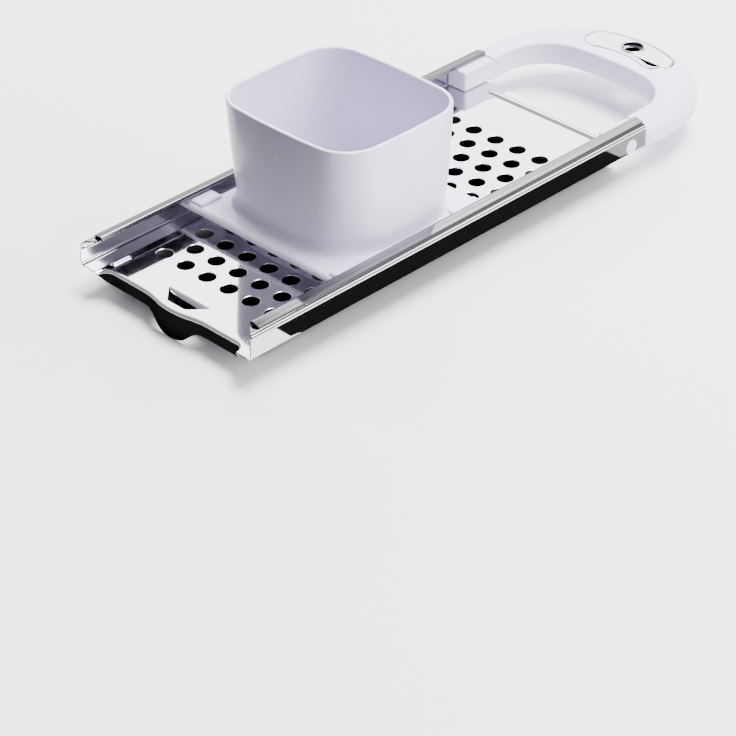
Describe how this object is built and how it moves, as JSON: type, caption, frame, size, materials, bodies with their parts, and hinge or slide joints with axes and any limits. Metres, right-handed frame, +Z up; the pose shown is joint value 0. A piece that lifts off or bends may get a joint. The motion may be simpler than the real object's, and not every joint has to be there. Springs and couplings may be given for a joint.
{
  "type": "spaetzle maker",
  "caption": "Spaetzle maker: perforated steel channel with hemmed rails and a hook lip, a sliding square hopper and a white bow handle with a chrome badge.",
  "frame": {"origin": "underside of the perforated floor, on the middle plane, in the front row of holes", "axes": "+X across the rails, +Y along the rails towards the handle, +Z up out of the channel"},
  "size_m": [0.1132, 0.3221, 0.0763],
  "materials": {
    "steel": "mirror-polished stainless sheet",
    "white_plastic": "glossy cool white moulding",
    "bright_chrome": "bright chrome plating"
  },
  "bodies": {
    "channel": {"grater_plate": "steel", "handle_lower_shell": "white_plastic", "handle_upper_shell": "white_plastic", "badge": "bright_chrome", "hang_eyelet": "bright_chrome", "retaining_peg_right": "white_plastic", "retaining_peg_left": "white_plastic"},
    "hopper": {"hopper": "white_plastic"}
  },
  "joints": [
    {"name": "hopper_slide", "type": "slide", "parent": "channel", "child": "hopper", "axis": [0, 1, 0], "range_m": [-0.044, 0.0806]}
  ]
}
